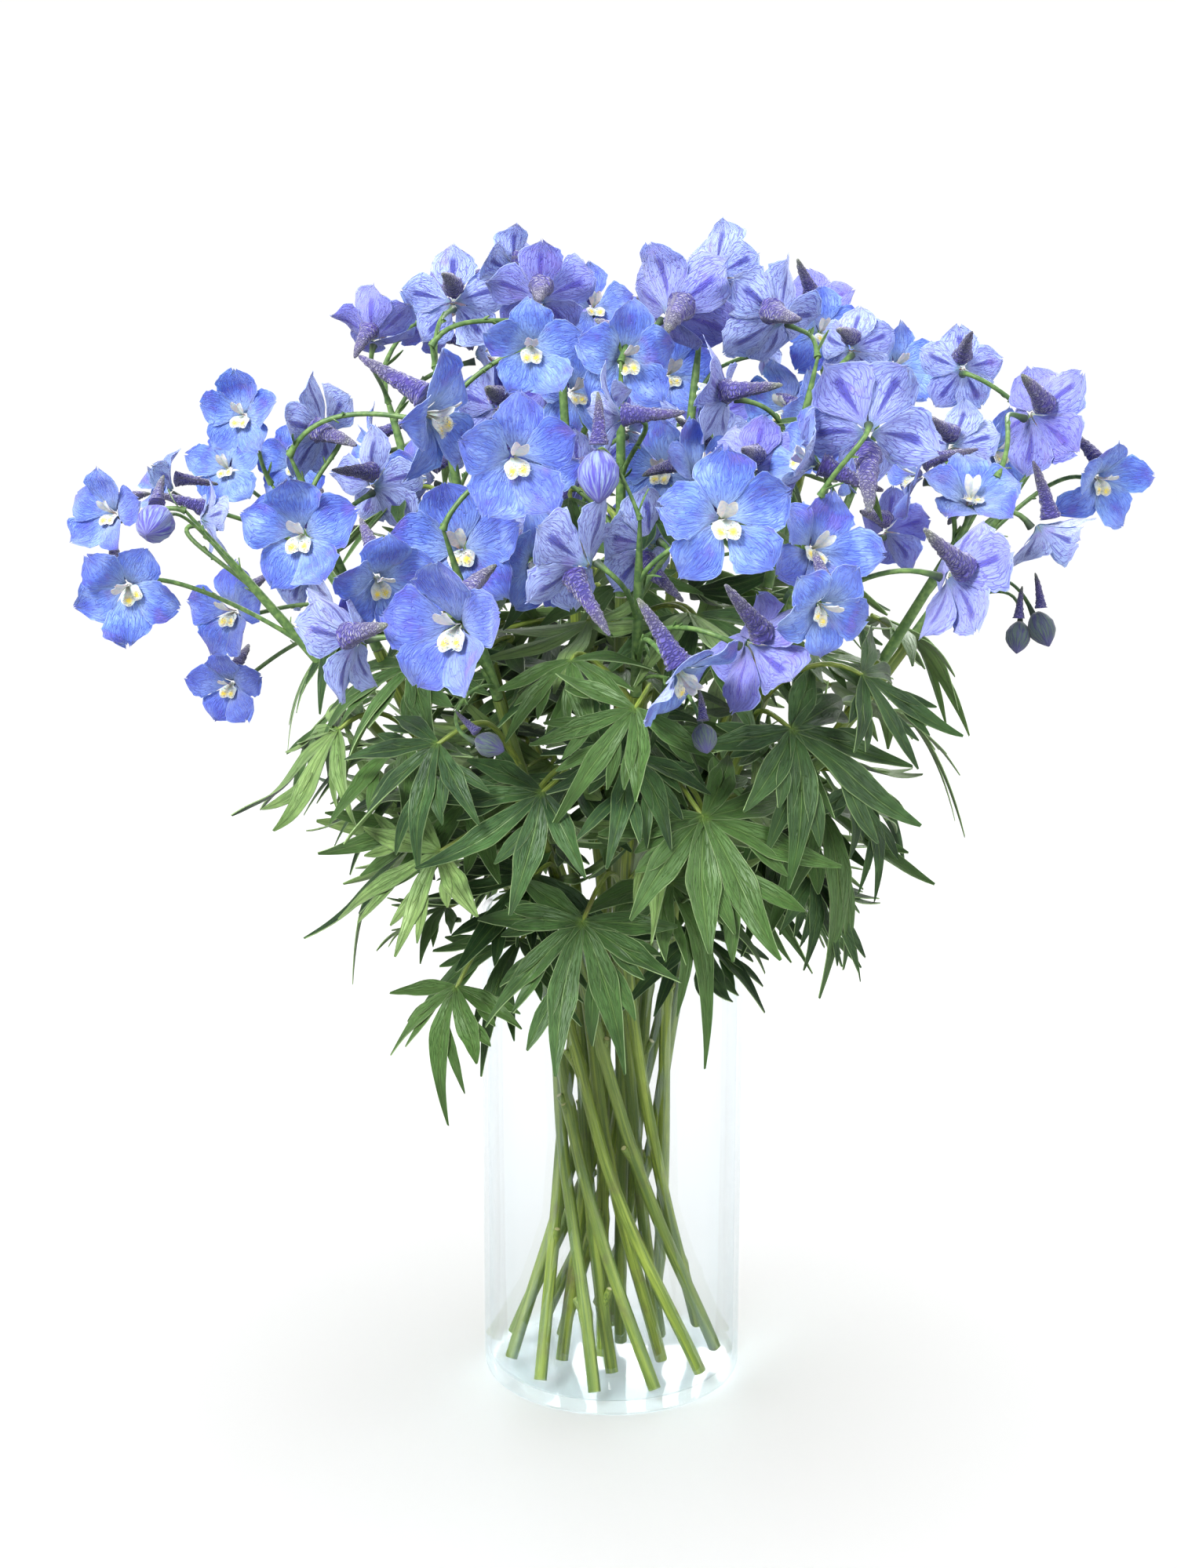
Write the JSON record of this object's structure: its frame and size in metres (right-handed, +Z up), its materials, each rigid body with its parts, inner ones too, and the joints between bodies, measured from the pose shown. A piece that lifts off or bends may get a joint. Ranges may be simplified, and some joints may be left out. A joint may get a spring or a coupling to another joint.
{
  "type": "delphinium bouquet in a glass vase",
  "caption": "Loose bunch of blue cut delphiniums with long-spurred blooms and palmate leaves, standing in a clear glass cylinder vase.",
  "frame": {"origin": "centre of the vase's flat underside, on the surface it stands on", "axes": "+Z up along the vase's axis, -Y towards the viewer of the picture, +X to their right"},
  "size_m": [0.4284, 0.3528, 0.4837],
  "materials": {
    "vase_glass": "clear polished soda-lime glass",
    "leaf_green": "matt green plant tissue",
    "petal_blue": "soft matt blue petals on green stalks"
  },
  "bodies": {
    "root": {"vase": "vase_glass", "stem_01": "leaf_green", "stem_02": "leaf_green", "stem_03": "leaf_green", "stem_04": "leaf_green", "stem_05": "leaf_green", "stem_06": "leaf_green", "stem_07": "leaf_green", "stem_08": "leaf_green", "stem_09": "leaf_green", "stem_10": "leaf_green", "stem_11": "leaf_green", "stem_12": "leaf_green", "stem_13": "leaf_green", "stem_14": "leaf_green", "stem_15": "leaf_green", "stem_16": "leaf_green", "stem_17": "leaf_green", "stem_18": "leaf_green", "stem_19": "leaf_green", "spray_01": "petal_blue", "spray_02": "petal_blue", "spray_03": "petal_blue", "spray_04": "petal_blue", "spray_05": "petal_blue", "spray_06": "petal_blue", "spray_07": "petal_blue", "spray_08": "petal_blue", "spray_09": "petal_blue", "spray_10": "petal_blue", "spray_11": "petal_blue", "spray_12": "petal_blue", "spray_13": "petal_blue", "spray_14": "petal_blue", "spray_15": "petal_blue", "spray_16": "petal_blue", "spray_17": "petal_blue", "spray_18": "petal_blue", "spray_19": "petal_blue"}
  },
  "joints": []
}
